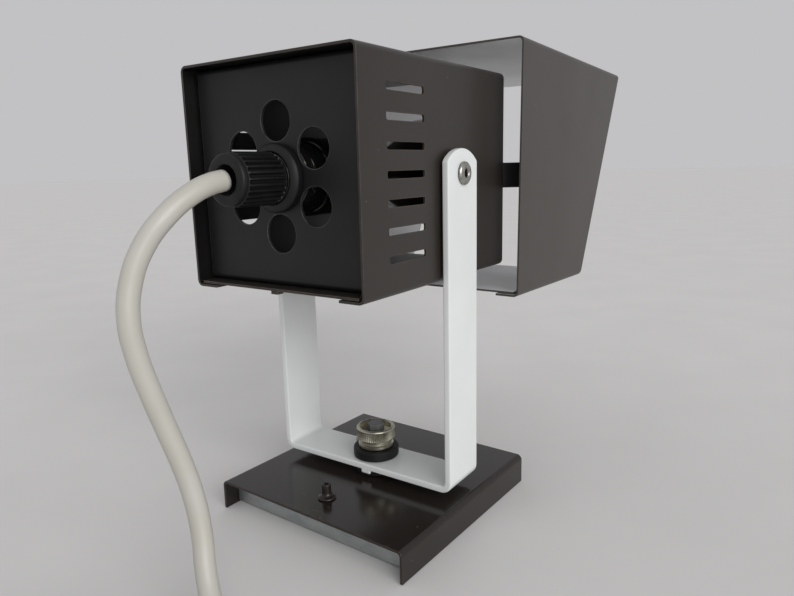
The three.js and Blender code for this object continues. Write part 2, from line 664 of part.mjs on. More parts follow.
function buildCord() {
  const group = new THREE.Group();
  add(group, 'cord_tube', cordTube(), whiteFlex);
  add(group, 'cord_coil', cordCoil(), whiteFlex);
  add(group, 'cord_tie', cordTie(), blackPlastic);
  add(group, 'plug_body', plugBody(), whiteFlex);
  add(group, 'plug_pin_1', plugPin(-1), nickel);
  add(group, 'plug_pin_2', plugPin(1), nickel);
  return group;
}

const lamp = new THREE.Group();
const head = new THREE.Group();
head.position.z = PIVOT_HEIGHT;
head.add(buildHousing(), buildLampholder(), buildHood());
lamp.add(buildBase(), buildYoke(), head, buildCord());

export default lamp;
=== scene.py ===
import math
import bmesh
import bpy
from mathutils import Matrix, Vector


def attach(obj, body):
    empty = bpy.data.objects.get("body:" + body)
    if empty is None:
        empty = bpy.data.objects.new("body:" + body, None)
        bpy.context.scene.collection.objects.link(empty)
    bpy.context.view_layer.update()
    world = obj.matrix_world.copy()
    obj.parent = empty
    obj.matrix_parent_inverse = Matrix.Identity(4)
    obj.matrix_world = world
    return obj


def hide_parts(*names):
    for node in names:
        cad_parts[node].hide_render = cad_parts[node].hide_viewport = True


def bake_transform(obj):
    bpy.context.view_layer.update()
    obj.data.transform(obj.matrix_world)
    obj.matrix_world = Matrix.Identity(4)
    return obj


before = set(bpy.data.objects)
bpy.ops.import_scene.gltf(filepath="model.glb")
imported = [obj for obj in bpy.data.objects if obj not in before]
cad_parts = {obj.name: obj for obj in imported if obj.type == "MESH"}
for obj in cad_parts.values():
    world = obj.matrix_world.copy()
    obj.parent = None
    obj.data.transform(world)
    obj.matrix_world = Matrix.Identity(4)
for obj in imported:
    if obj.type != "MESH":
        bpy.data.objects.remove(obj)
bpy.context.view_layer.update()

# Pieces are drawn in millimetres and scaled to metres when they are finished.
mm = 0.001
pivotHeight = 147.5
gap = 0.3  # clearance between pieces that touch
holeRadius = {"rivet": 2.7, "bolt": 3.35, "stud": 2.3, "earthScrew": 1.9}
studY = 34.3
earthScrewY = 48
fullTurn = 2 * math.pi
scene = bpy.context.scene
scene.view_settings.view_transform = "Standard"

print("camera")
camera = {
    "lens": 29.528,
    "place": (-169.95, 225.32, 150.66),
    "yaw": -55.25,
    "pitch": -11.422,
    "roll": -1.351,
}


def makeCamera():
    data = bpy.data.cameras.new("camera")
    data.lens = camera["lens"]
    data.sensor_width = 36
    data.clip_start = 0.01
    eye = bpy.data.objects.new("camera", data)
    scene.collection.objects.link(eye)
    yaw, pitch, roll = (math.radians(camera[key]) for key in ("yaw", "pitch", "roll"))
    aim = Matrix.Rotation(yaw - math.pi / 2, 4, "Z") @ Matrix.Rotation(math.pi / 2 + pitch, 4, "X")
    place = Matrix.Translation(Vector(camera["place"]) * mm)
    eye.matrix_world = place @ aim @ Matrix.Rotation(roll, 4, "Z")
    scene.camera = eye


makeCamera()

print("finishes")


def addNode(tree, kind, inputs=None, **settings):
    made = tree.nodes.new("ShaderNode" + kind)
    for key, value in settings.items():
        setattr(made, key, value)
    for key, value in (inputs or {}).items():
        connect(tree, value, made.inputs[key])
    return made


def connect(tree, value, socket):
    if isinstance(value, bpy.types.NodeSocket):
        tree.links.new(value, socket)
    else:
        socket.default_value = value


def linear(colour):
    # colours are written 0 to 255, as in a picture editor
    parts = [part / 255 for part in colour]
    return tuple(p / 12.92 if p <= 0.04045 else ((p + 0.055) / 1.055) ** 2.4 for p in parts) + (1.0,)


def noise(tree, size, detail=3.0, stretch=(1, 1, 1), turn=(0, 0, 0)):
    # size is the width of one patch in millimetres
    place = addNode(tree, "TexCoord").outputs["Object"]
    spread = addNode(tree, "Mapping", {"Vector": place, "Scale": stretch, "Rotation": turn})
    settings = {"Vector": spread.outputs["Vector"], "Scale": 1 / (size * mm), "Detail": detail}
    return addNode(tree, "TexNoise", settings).outputs["Fac"]


def ranged(tree, value, low, high, toLow=0.0, toHigh=1.0):
    names = ("Value", "From Min", "From Max", "To Min", "To Max")
    return addNode(tree, "MapRange", dict(zip(names, (value, low, high, toLow, toHigh)))).outputs["Result"]


def math2(tree, operation, first, second):
    return addNode(tree, "Math", {0: first, 1: second}, operation=operation).outputs[0]


def mixed(tree, amount, first, second):
    made = addNode(tree, "Mix", data_type="RGBA")
    for index, value in ((0, amount), (6, first), (7, second)):
        connect(tree, value, made.inputs[index])
    return made.outputs[2]


def cornerMask(tree, width, low, high):
    # 0 on flat faces and 1 on outside corners
    rounded = addNode(tree, "Bevel", {"Radius": width * mm}, samples=6).outputs["Normal"]
    plain = addNode(tree, "NewGeometry").outputs["Normal"]
    alike = addNode(tree, "VectorMath", {0: rounded, 1: plain}, operation="DOT_PRODUCT").outputs["Value"]
    return ranged(tree, alike, high, low)


def makeFinish(name, look):
    material = bpy.data.materials.new(name)
    material.use_nodes = True
    tree = material.node_tree
    shader = tree.nodes["Principled BSDF"]
    shader.inputs["Metallic"].default_value = look.get("metal", 0.0)
    shader.inputs["Specular IOR Level"].default_value = look.get("specular", 0.5)
    shader.inputs["Coat Weight"].default_value = look.get("coat", 0.0)
    shader.inputs["Coat Roughness"].default_value = look.get("coatRoughness", 0.2)

    # two tones of one colour in soft patches
    stretch = look.get("stretch", (1, 1, 1))
    patches = ranged(tree, noise(tree, look["patch"], 4.0, stretch), 0.35, 0.65)
    colour = mixed(tree, patches, linear(look["colour"]), linear(look["second"]))
    roughness = ranged(tree, noise(tree, look["patch"] * 0.6, 3.0, stretch), 0.3, 0.7,
                       look["roughness"] - look["unevenness"], look["roughness"] + look["unevenness"])
    if "specks" in look:
        spots = ranged(tree, noise(tree, look["specks"]["size"], 2.0), look["specks"]["from"],
                       look["specks"]["from"] + 0.03, 0.0, look["specks"]["strength"])
        colour = mixed(tree, spots, colour, linear(look["specks"]["colour"]))
    if "scuffs" in look:
        streaks = ranged(tree, noise(tree, 9, 2.0, (1, 9, 1), (0, 0, 0.7)), 0.66, 0.72)
        areas = ranged(tree, noise(tree, 32, 1.0), 0.5, 0.6, 0.0, look["scuffs"]["strength"])
        streaks = math2(tree, "MULTIPLY", streaks, areas)
        colour = mixed(tree, streaks, colour, linear(look["scuffs"]["colour"]))
        roughness = math2(tree, "ADD", roughness, math2(tree, "MULTIPLY", streaks, 0.25))
    # lighter colour on outside edges: some real wear, and a painted highlight along rims and vent edges,
    # strongest on the black paint
    if "edgeWearAndHighlight" in look:
        corners = cornerMask(tree, look["edgeWearAndHighlight"]["width"], 0.86, 0.99)
        broken = ranged(tree, noise(tree, 5, 4.0), 0.38, 0.56, 0.25, look["edgeWearAndHighlight"]["strength"])
        corners = math2(tree, "MULTIPLY", corners, broken)
        colour = mixed(tree, corners, colour, linear(look["edgeWearAndHighlight"]["colour"]))
    # darker in hollows found by ambient occlusion: painted shade in grooves, holes and recesses, with some dirt
    # there
    if "hollowDirtAndShade" in look:
        hollow = addNode(tree, "AmbientOcclusion", {"Distance": look["hollowDirtAndShade"]["depth"] * mm}, samples=6)
        dirtAndShade = ranged(tree, hollow.outputs["AO"], 0.25, 0.85, look["hollowDirtAndShade"]["strength"], 0.0)
        colour = mixed(tree, dirtAndShade, colour, linear(look["hollowDirtAndShade"]["colour"]))
    connect(tree, colour, shader.inputs["Base Color"])
    connect(tree, roughness, shader.inputs["Roughness"])

    grain = noise(tree, look["grain"], 3.0, look.get("grainStretch", (1, 1, 1)))
    bump = addNode(tree, "Bump", {"Height": grain, "Strength": 1.0, "Distance": look["relief"] * mm})
    if "dents" in look:
        waves = noise(tree, look["dents"]["size"], 1.0)
        bump = addNode(tree, "Bump", {"Height": waves, "Strength": 1.0,
                                      "Distance": look["dents"]["depth"] * mm,
                                      "Normal": bump.outputs["Normal"]})
    connect(tree, bump.outputs["Normal"], shader.inputs["Normal"])
    return material


brown = {
    "colour": (49, 45, 42), "second": (46, 42, 39), "patch": 38, "roughness": 0.36, "unevenness": 0.015,
    "specular": 0.35,
    "grain": 0.9, "relief": 0.006, "dents": {"size": 45, "depth": 0.03},
    "specks": {"size": 1.6, "from": 0.745, "strength": 0.5, "colour": (150, 145, 138)},
    "edgeWearAndHighlight": {"width": 0.5, "strength": 0.75, "colour": (118, 104, 88)},
}
finishes = {
    "brownPaint": brown,
    "basePaint": {**brown, "colour": (38, 33, 30), "second": (35, 30, 27), "roughness": 0.17, "specular": 0.35,
                  "scuffs": {"strength": 0.12, "colour": (120, 114, 106)}},
    "hoodPaint": {**brown, "colour": (66, 62, 59), "second": (63, 59, 56), "roughness": 0.4},
    "whitePaint": {
        "colour": (226, 229, 228), "second": (221, 224, 222), "patch": 30, "roughness": 0.34,
        "unevenness": 0.05, "grain": 1.2, "relief": 0.006, "dents": {"size": 22, "depth": 0.05},
        "specks": {"size": 2.2, "from": 0.765, "strength": 0.6, "colour": (120, 116, 106)},
        "edgeWearAndHighlight": {"width": 0.5, "strength": 0.2, "colour": (172, 171, 164)},
    },
    "hoodWhite": {
        "colour": (216, 216, 218), "second": (210, 210, 211), "patch": 34, "roughness": 0.45,
        "unevenness": 0.06, "grain": 1.0, "relief": 0.008,
    },
    "innerBlack": {
        "colour": (16, 16, 15), "second": (13, 13, 12), "patch": 20, "roughness": 0.35, "unevenness": 0.05,
        "grain": 0.9, "relief": 0.008,
    },
    "blackPaint": {
        "colour": (24, 24, 25), "second": (21, 22, 22), "patch": 30, "roughness": 0.42, "unevenness": 0.05,
        "specular": 0.35,
        "grain": 0.9, "relief": 0.008, "dents": {"size": 35, "depth": 0.08},
        # light edge colour: painted highlight on the rims and vent edges
        "edgeWearAndHighlight": {"width": 0.6, "strength": 0.9, "colour": (112, 111, 107)},
    },
    "blackPlastic": {
        "colour": (20, 20, 21), "second": (16, 16, 17), "patch": 6, "roughness": 0.48, "unevenness": 0.08,
        "specular": 0.35, "grain": 0.35, "relief": 0.012,
        "edgeWearAndHighlight": {"width": 0.3, "strength": 0.4, "colour": (44, 44, 44)},
    },
    # black plastic written as mid grey: the lighter tone is painted sheen from above
    "paintedSheenGrey": {
        "colour": (94, 94, 92), "second": (84, 84, 82), "patch": 4, "roughness": 0.45, "unevenness": 0.08,
        "grain": 0.35, "relief": 0.012,
        "edgeWearAndHighlight": {"width": 0.3, "strength": 0.5, "colour": (96, 96, 94)},
    },
    "glossPlastic": {
        "colour": (24, 22, 21), "second": (20, 18, 18), "patch": 9, "roughness": 0.12, "unevenness": 0.05,
        "grain": 0.8, "relief": 0.004,
    },
    "rubber": {
        "colour": (19, 19, 20), "second": (16, 16, 17), "patch": 4, "roughness": 0.6, "unevenness": 0.08,
        "specular": 0.3,
        "grain": 0.4, "relief": 0.015,
        "edgeWearAndHighlight": {"width": 0.4, "strength": 0.3, "colour": (40, 40, 40)},
    },
    "zinc": {
        "colour": (176, 180, 180), "second": (160, 165, 165), "patch": 4, "stretch": (0.5, 1, 1), "metal": 1.0,
        "roughness": 0.5, "unevenness": 0.05, "grain": 0.7, "relief": 0.004, "grainStretch": (0.15, 1, 1),
        "specks": {"size": 1.8, "from": 0.7, "strength": 0.35, "colour": (112, 114, 112)},
        "hollowDirtAndShade": {"depth": 1.5, "strength": 0.25, "colour": (84, 84, 80)},
    },
    # the dark hollow colours on steel and nickel paint shade into rivet holes and knurl grooves
    "steel": {
        "colour": (176, 176, 170), "second": (150, 150, 144), "patch": 2, "metal": 1.0, "roughness": 0.28,
        "unevenness": 0.08, "grain": 0.3, "relief": 0.006,
        "hollowDirtAndShade": {"depth": 0.9, "strength": 0.7, "colour": (40, 38, 34)},
    },
    "nickel": {
        "colour": (188, 185, 170), "second": (170, 166, 150), "patch": 2.5, "metal": 1.0, "roughness": 0.38,
        "unevenness": 0.08, "grain": 0.35, "relief": 0.004,
        "hollowDirtAndShade": {"depth": 0.6, "strength": 0.7, "colour": (66, 62, 48)},
    },
    "brass": {
        "colour": (196, 160, 92), "second": (170, 134, 70), "patch": 3, "metal": 1.0, "roughness": 0.3,
        "unevenness": 0.1, "grain": 0.5, "relief": 0.005,
        "hollowDirtAndShade": {"depth": 1.2, "strength": 0.5, "colour": (80, 58, 30)},
    },
    "flex": {
        "colour": (192, 190, 183), "second": (187, 184, 174), "patch": 26, "roughness": 0.4,
        "unevenness": 0.06, "grain": 1.4, "relief": 0.01, "coat": 0.1,
        "specks": {"size": 2.6, "from": 0.75, "strength": 0.35, "colour": (150, 146, 134)},
        "dents": {"size": 9, "depth": 0.1},
    },
    "plugPlastic": {
        "colour": (222, 220, 213), "second": (214, 211, 202), "patch": 20, "roughness": 0.4,
        "unevenness": 0.06, "grain": 0.5, "relief": 0.012,
        "hollowDirtAndShade": {"depth": 2, "strength": 0.25, "colour": (130, 126, 116)},
    },
    "ceramic": {
        "colour": (214, 208, 194), "second": (204, 197, 181), "patch": 6, "roughness": 0.5,
        "unevenness": 0.1, "grain": 0.6, "relief": 0.02,
    },
    "wireBrown": {
        "colour": (112, 72, 44), "second": (100, 62, 36), "patch": 3, "roughness": 0.4, "unevenness": 0.06,
        "grain": 0.6, "relief": 0.006,
    },
    "wireBlue": {
        "colour": (52, 92, 150), "second": (44, 80, 136), "patch": 3, "roughness": 0.4, "unevenness": 0.06,
        "grain": 0.6, "relief": 0.006,
    },
    "mirrorGlass": {
        "colour": (196, 196, 192), "second": (182, 182, 178), "patch": 14, "metal": 1.0, "roughness": 0.08,
        "unevenness": 0.04, "grain": 6, "relief": 0.02,
    },
    "frostedGlass": {
        "colour": (226, 226, 222), "second": (220, 220, 214), "patch": 16, "roughness": 0.42,
        "unevenness": 0.04, "grain": 0.4, "relief": 0.01, "coat": 0.3, "coatRoughness": 0.25,
    },
}
finish = {name: makeFinish(name, look) for name, look in finishes.items()}

print("helpers")


def moved(bm, *steps):
    for step in steps:
        bmesh.ops.transform(bm, matrix=step, verts=bm.verts)
    return bm


def shifted(x=0.0, y=0.0, z=0.0):
    return Matrix.Translation((x, y, z))


def turned(degrees, axis):
    return Matrix.Rotation(math.radians(degrees), 4, axis)


alongY = turned(-90, "X")  # a piece turned about Z comes to lie along Y
alongX = turned(90, "Y")
toPivot = shifted(z=pivotHeight)


def makePiece(name, bm, body, materials, nodes=()):
    bmesh.ops.scale(bm, vec=(mm, mm, mm), verts=bm.verts)
    mesh = bpy.data.meshes.new(name)
    bm.to_mesh(mesh)
    bm.free()
    for material in materials:
        mesh.materials.append(finish[material])
    mesh.shade_smooth()
    piece = bpy.data.objects.new(name, mesh)
    scene.collection.objects.link(piece)
    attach(piece, body)
    if nodes:
        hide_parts(*nodes)
    return piece


def settle(piece):
    # turns live modifiers into plain mesh
    graph = bpy.context.evaluated_depsgraph_get()
    mesh = bpy.data.meshes.new_from_object(piece.evaluated_get(graph))
    piece.modifiers.clear()
    piece.data = mesh


def thicken(piece, thickness, inner=0):
    wall = piece.modifiers.new("wall", "SOLIDIFY")
    wall.thickness = thickness * mm
    wall.offset = -1
    wall.use_even_offset = True
    wall.material_offset = inner
    settle(piece)


def cutAway(piece, bm, operation="DIFFERENCE"):
    bmesh.ops.scale(bm, vec=(mm, mm, mm), verts=bm.verts)
    mesh = bpy.data.meshes.new("cutter")
    bm.to_mesh(mesh)
    bm.free()
    cutter = bpy.data.objects.new("cutter", mesh)
    scene.collection.objects.link(cutter)
    cut = piece.modifiers.new("cut", "BOOLEAN")
    cut.object = cutter
    cut.operation = operation
    cut.solver = "EXACT"
    settle(piece)
    bpy.data.objects.remove(cutter)


def soften(piece, width=0.0, segments=2, angle=35):
    if width:
        bevel = piece.modifiers.new("edges", "BEVEL")
        bevel.width = width * mm
        bevel.segments = segments
        bevel.limit_method = "ANGLE"
        bevel.angle_limit = math.radians(angle)
        bevel.use_clamp_overlap = False
    flat = piece.modifiers.new("flats", "WEIGHTED_NORMAL")
    flat.keep_sharp = True
    settle(piece)


def foldedSheet(corners, ends, bend, along="Y", segments=8):
    # corners are (x, z) pairs pushed along Y, or (y, z) pairs pushed along X
    bm = bmesh.new()
    start, end = ends
    place = (lambda a, b: (a, start, b)) if along == "Y" else (lambda a, b: (start, a, b))
    line = [bm.verts.new(place(a, b)) for a, b in corners]
    strip = [bm.edges.new(pair) for pair in zip(line, line[1:])]
    pushed = bmesh.ops.extrude_edge_only(bm, edges=strip)["geom"]
    far = [v for v in pushed if isinstance(v, bmesh.types.BMVert)]
    travel = (0, end - start, 0) if along == "Y" else (end - start, 0, 0)
    bmesh.ops.translate(bm, vec=travel, verts=far)
    folds = [e for e in bm.edges if len(e.link_faces) == 2]
    bmesh.ops.bevel(bm, geom=folds, offset=bend, offset_type="OFFSET", segments=segments,
                    profile=0.5, affect="EDGES", material=-1, clamp_overlap=False)
    bmesh.ops.recalc_face_normals(bm, faces=bm.faces)
    middle = sum((f.calc_center_median() for f in bm.faces), Vector()) / len(bm.faces)
    outward = sum((f.calc_center_median() - middle).dot(f.normal) * f.calc_area() for f in bm.faces)
    if outward < 0:
        bmesh.ops.reverse_faces(bm, faces=bm.faces)
    return bm


def addRod(bm, radius, low, high, axis="Z", place=(0, 0, 0), sides=48):
    aim = {"X": alongX, "Y": alongY, "Z": Matrix()}[axis]
    middle = shifted(z=(low + high) / 2)
    bmesh.ops.create_cone(bm, cap_ends=True, segments=sides, radius1=radius, radius2=radius,
                          depth=high - low, matrix=Matrix.Translation(place) @ aim @ middle)
    return bm


def addBox(bm, low, high, corner=0.0, axis="X"):
    size = [b - a for a, b in zip(low, high)]
    middle = [(a + b) / 2 for a, b in zip(low, high)]
    box = Matrix.Translation(middle) @ Matrix.Diagonal((*size, 1))
    made = bmesh.ops.create_cube(bm, size=1, matrix=box)["verts"]
    if corner:
        index = "XYZ".index(axis)
        run = {e for v in made for e in v.link_edges
               if abs(e.verts[0].co[index] - e.verts[1].co[index]) > size[index] / 2}
        bmesh.ops.bevel(bm, geom=list(run), offset=corner, offset_type="OFFSET", segments=4,
                        profile=0.5, affect="EDGES", material=-1, clamp_overlap=False)
    return bm


def spun(profile, steps=64, closed=True, soft=0.0):
    # profile is (radius, height) pairs; closed joins the last to the first
    bm = bmesh.new()
    line = [bm.verts.new((radius, 0, height)) for radius, height in profile]
    pairs = list(zip(line, line[1:])) + ([(line[-1], line[0])] if closed else [])
    strip = [bm.edges.new(pair) for pair in pairs]
    bmesh.ops.spin(bm, geom=line + strip, cent=(0, 0, 0), axis=(0, 0, 1), angle=fullTurn,
                   steps=steps, use_merge=True, use_duplicate=False)
    bmesh.ops.remove_doubles(bm, verts=bm.verts, dist=0.0005)
    bmesh.ops.recalc_face_normals(bm, faces=bm.faces)
    if soft:
        sharp = [e for e in bm.edges if len(e.link_faces) == 2
                 and e.calc_face_angle(0) > math.radians(30)]
        bmesh.ops.bevel(bm, geom=sharp, offset=soft, offset_type="OFFSET", segments=2,
                        profile=0.5, affect="EDGES", material=-1, clamp_overlap=True)
    return bm


def pushIn(bm, steps, radius, root, period, low, high):
    # every few meridians of a turned band go in to make teeth or flutes
    for vert in bm.verts:
        x, y, z = vert.co
        if low < z < high and abs(math.hypot(x, y) - radius) < 0.02:
            meridian = round(math.atan2(y, x) / (fullTurn / steps)) % period
            if meridian >= period / 2:
                vert.co.x, vert.co.y = x * root / radius, y * root / radius
    return bm


print("flex")
flex = {
    "diameter": 7.2,
    "length": 1.8,
    "route": [
        (0, 78.4, 147.5), (0.2, 83.9, 146.5), (1.1, 91.1, 143.6), (3.4, 99.2, 137.5), (7.2, 105.7, 128.3),
        (9.2, 110, 117.5), (9.2, 112, 106), (8.5, 110.9, 94), (7, 108.3, 81.6), (5.3, 105.2, 69),
        (3.1, 102.3, 56.5), (0.6, 100.6, 44), (-2, 100.8, 32), (-5.5, 103.2, 20.8), (-11.7, 106.5, 12.1),
        (-19.4, 110.2, 6.7), (-28.2, 114.6, 4.1), (-38, 120, 3.7), (-49, 126.8, 3.6),
    ],
    "coilCentre": (-31.2, 175.4),
    "coilRadii": (50.4, 43.2, 36.0),
    "enterAt": 235,
    "leaveAfter": 1945,  # degrees of winding, a little over five turns
    "riseOver": 40,  # the last degrees of it, where the flex starts to rise to the plug
    "plugX": -1.2,
    "plugZ": 18.5,
}


def eased(value, low, high):
    t = min(1.0, max(0.0, (value - low) / (high - low)))
    return t * t * (3 - 2 * t)


def coilPoint(wound):
    # two layers: inwards on the table, then outwards on top
    step = flex["diameter"]
    outer = flex["coilRadii"][0]
    inward = eased(wound, 300, 360) + eased(wound, 660, 720)
    outward = eased(wound, 1200, 1260) + eased(wound, 1500, 1560)
    radius = outer - step * (inward - outward)
    height = step / 2 + step * eased(wound, 900, 960)
    angle = math.radians(flex["enterAt"] - wound)
    x, y = flex["coilCentre"]
    return x + radius * math.cos(angle), y + radius * math.sin(angle), height


def flexPoints():
    points = list(flex["route"])
    points += [coilPoint(wound) for wound in range(0, flex["leaveAfter"] - flex["riseOver"], 15)]
    start = coilPoint(flex["leaveAfter"])
    rise = flex["plugZ"] - start[2]
    bendLength = math.radians(flex["riseOver"]) * flex["coilRadii"][0]
    run = bendLength + flex["plugX"] - start[0]
    for wound in range(flex["leaveAfter"] - flex["riseOver"], flex["leaveAfter"], 10):
        x, y, z = coilPoint(wound)
        gone = bendLength - math.radians(flex["leaveAfter"] - wound) * flex["coilRadii"][0]
        points.append((x, y, z + rise * eased(gone, 0, run)))
    for ahead in range(0, 41, 8):
        points.append((start[0] + ahead, start[1], start[2] + rise * eased(bendLength + ahead, 0, run)))
    return points


def makeFlex():
    points = flexPoints()
    data = bpy.data.curves.new("flexLine", "CURVE")
    data.dimensions = "3D"
    data.resolution_u = 5
    spline = data.splines.new("BEZIER")
    spline.bezier_points.add(len(points) - 1)
    for knot, point in zip(spline.bezier_points, points):
        knot.co = Vector(point) * mm
        knot.handle_left_type = knot.handle_right_type = "AUTO"
    line = bpy.data.objects.new("flexLine", data)
    scene.collection.objects.link(line)
    graph = bpy.context.evaluated_depsgraph_get()
    centre = bpy.data.meshes.new_from_object(line.evaluated_get(graph))
    path = [v.co.copy() for v in centre.vertices]
    data.bevel_depth = flex["diameter"] / 2 * mm
    data.bevel_resolution = 7
    data.use_fill_caps = True
    graph = bpy.context.evaluated_depsgraph_get()
    mesh = bpy.data.meshes.new_from_object(line.evaluated_get(graph))
    bpy.data.objects.remove(line)
    mesh.name = "flex"
    bm = bmesh.new()
    bm.from_mesh(mesh)
    bmesh.ops.remove_doubles(bm, verts=bm.verts, dist=0.00002)
    bmesh.ops.recalc_face_normals(bm, faces=bm.faces)
    bm.to_mesh(mesh)
    bm.free()
    mesh.materials.clear()
    mesh.materials.append(finish["flex"])
    mesh.shade_smooth()
    piece = bpy.data.objects.new("flex", mesh)
    scene.collection.objects.link(piece)
    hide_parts("cord_tube", "cord_coil")
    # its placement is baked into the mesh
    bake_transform(piece)
    return piece, path


flexPiece, flexPath = makeFlex()

plug = {
    "relief": [(3.7, 0.3), (4.7, 0.3), (5.0, 1.0), (5.2, 16.5), (6.4, 19.0), (8.4, 21.0)],
    "body": [(12.6, 22.2), (16.4, 27.0), (17.8, 31.0), (18.5, 33.5), (18.5, 48.2), (17.7, 49.4), (16.9, 50.0)],
    "face": [(16.2, 49.9), (15.9, 49.2), (0, 49.0)],
    "pinRadius": 2.4,
    "pinSpacing": 19,
    "pinFrom": 44.5,
    "pinTo": 69,
}
plugY = flex["coilCentre"][1] + flex["coilRadii"][0]
toPlug = Matrix.Translation((flex["plugX"], plugY, flex["plugZ"])) @ alongX


def makePlug():
    grooves = []
    for k in range(5):
        z = 3.0 + k * 2.8
        grooves += [(5.05, z), (4.35, z + 0.3), (4.35, z + 1.0), (5.1, z + 1.3)]
    relief = plug["relief"][:3] + grooves + plug["relief"][3:]
    bm = spun([(0, 6), (3.7, 6)] + relief + plug["body"] + plug["face"], closed=False, soft=0.12)
    body = makePiece("plugBody", moved(bm, toPlug), "yoke", ["plugPlastic"], ["plug_body"])
    cutters = bmesh.new()
    for side in (-1, 1):
        pinPlace = (0, side * plug["pinSpacing"] / 2, 0)
        addRod(cutters, plug["pinRadius"] + gap, plug["pinFrom"] - gap, 60, "Z", pinPlace)
        addBox(cutters, (side * 18.8 - 2.4, -2.6, 36), (side * 18.8 + 2.4, 2.6, 60), 0.8, "Z")
        for k in range(4):
            low = 29.8 + k * 1.9
            addBox(cutters, (-7, side * 18.4 - 0.9, low), (7, side * 18.4 + 0.9, low + 0.9))
    cutAway(body, moved(cutters, toPlug))
    soften(body, 0.15)
    pins = []
    for side, node in ((-1, "plug_pin_1"), (1, "plug_pin_2")):
        radius, end = plug["pinRadius"], plug["pinTo"]
        tip = [(0, end), (1.2, end), (2.0, end - 0.6), (radius, end - 1.8)]
        bm = spun([(0, plug["pinFrom"]), (radius, plug["pinFrom"])] + tip[::-1], 32, False)
        bm = moved(bm, shifted(y=side * plug["pinSpacing"] / 2), toPlug)
        pin = makePiece("plugPin" + ("Left" if side < 0 else "Right"), bm, "yoke", ["steel"], [node])
        soften(pin)
        pins.append(pin)
    return [body] + pins


tie = {"half": 12.7, "top": 15.7, "wide": 9.0, "sheet": 1.0, "bend": 3.5, "angle": 171}


def makeTie():
    half, top = tie["half"], tie["top"]
    ends = (-tie["wide"] / 2, tie["wide"] / 2)
    bm = foldedSheet([(-half, gap), (-half, top), (half, top), (half, gap)], ends, tie["bend"])
    x, y = flex["coilCentre"]
    moved(bm, shifted(x=flex["coilRadii"][1]), turned(tie["angle"], "Z"), shifted(x, y))
    band = makePiece("flexTie", bm, "yoke", ["rubber"], ["cord_tie"])
    thicken(band, tie["sheet"])
    soften(band, 0.25)
    return band


makePlug() + [makeTie()]

print("base")
base = {"half": 50.0, "top": 13.5, "low": 0.15, "depth": 98.0, "sheet": 1.2, "bend": 2.5, "turn": -2.0}


def makeBase():
    half, top, low, depth = (base[key] for key in ("half", "top", "low", "depth"))
    corners = [(-half, low), (-half, top), (half, top), (half, low)]
    bm = foldedSheet(corners, (-depth / 2, depth / 2), base["bend"])
    cover = makePiece("baseCover", moved(bm, turned(base["turn"], "Z")), "base",
                      ["basePaint"], ["base_cover"])
    thicken(cover, base["sheet"])
    holes = addRod(bmesh.new(), holeRadius["bolt"], 5, 20)
    addRod(holes, holeRadius["stud"], 5, 20, "Z", (0, studY, 0))
    cutAway(cover, moved(holes, turned(base["turn"], "Z")))
    soften(cover, 0.22, 3)


makeBase()

stud = [(0, 11), (3, 11), (3, 12), (2, 12), (2, 13.8), (3.8, 13.8), (3.9, 14.1), (3.5, 14.5), (2.5, 14.9),
        (2.15, 15.6), (2.0, 16.4), (1.95, 19.5), (1.75, 19.9), (1.5, 20), (1.15, 19.95), (1.0, 19.6),
        (1.0, 15.5), (0, 15.5)]
boltCap = {"flats": 7.0, "low": 31.7, "top": 36.0, "corner": 0.7}


def makeBaseFittings():
    bm = moved(spun(stud, 32, False), shifted(y=studY), turned(base["turn"], "Z"))
    soften(makePiece("stopStud", bm, "base", ["basePaint"], ["stop_stud"]))
    bm = addRod(bmesh.new(), boltCap["flats"] / math.sqrt(3), boltCap["low"], boltCap["top"], "Z", sides=6)
    rim = [e for e in bm.edges if all(v.co.z > boltCap["top"] - 0.1 for v in e.verts)]
    bmesh.ops.bevel(bm, geom=rim, offset=boltCap["corner"], offset_type="OFFSET", segments=2,
                    profile=0.5, affect="EDGES", material=-1, clamp_overlap=True)
    # the black cap gets the mid grey finish as painted sheen on its top
    cap = makePiece("boltCap", moved(bm, turned(base["turn"], "Z")), "base",
                    ["paintedSheenGrey"], ["bolt_cap"])
    soften(cap, 0.25)


makeBaseFittings()

print("yoke")
yoke = {
    "half": 46.2, "foot": 17.3, "top": 157.0, "width": 23.0, "bar": 3.0, "bend": 5.0, "tipRadius": 16.0,
    "soft": 0.7, "notch": (14, -11.5, 5.5), "tab": ((-4.6, 10.4, 15.7), (0.4, 11.5, 18.3)),
}


def makeYoke():
    half, foot, top, wide = yoke["half"], yoke["foot"], yoke["top"], yoke["width"]
    corners = [(-half, top), (-half, foot), (half, foot), (half, top)]
    bm = foldedSheet(corners, (-wide / 2, wide / 2), yoke["bend"])
    ends = [e for e in bm.edges if all(v.co.z > top - 0.1 for v in e.verts)]
    bmesh.ops.subdivide_edges(bm, edges=ends, cuts=23, use_grid_fill=True)
    for vert in bm.verts:
        if vert.co.z > top - 0.1:
            vert.co.z = top - yoke["tipRadius"] + math.sqrt(yoke["tipRadius"] ** 2 - vert.co.y ** 2)
    strap = makePiece("yokeStrap", bm, "yoke", ["whitePaint"], ["yoke"])
    thicken(strap, yoke["bar"])
    cutAway(strap, addBox(bmesh.new(), *yoke["tab"]), "UNION")
    holes = addRod(bmesh.new(), holeRadius["rivet"], -60, 60, "X", (0, 0, pivotHeight), 32)
    addRod(holes, holeRadius["bolt"], 5, 30)
    x, y, radius = yoke["notch"]
    addRod(holes, radius, 5, 30, "Z", (x, y, 0))
    cutAway(strap, holes)
    soften(strap, yoke["soft"], 3)


makeYoke()

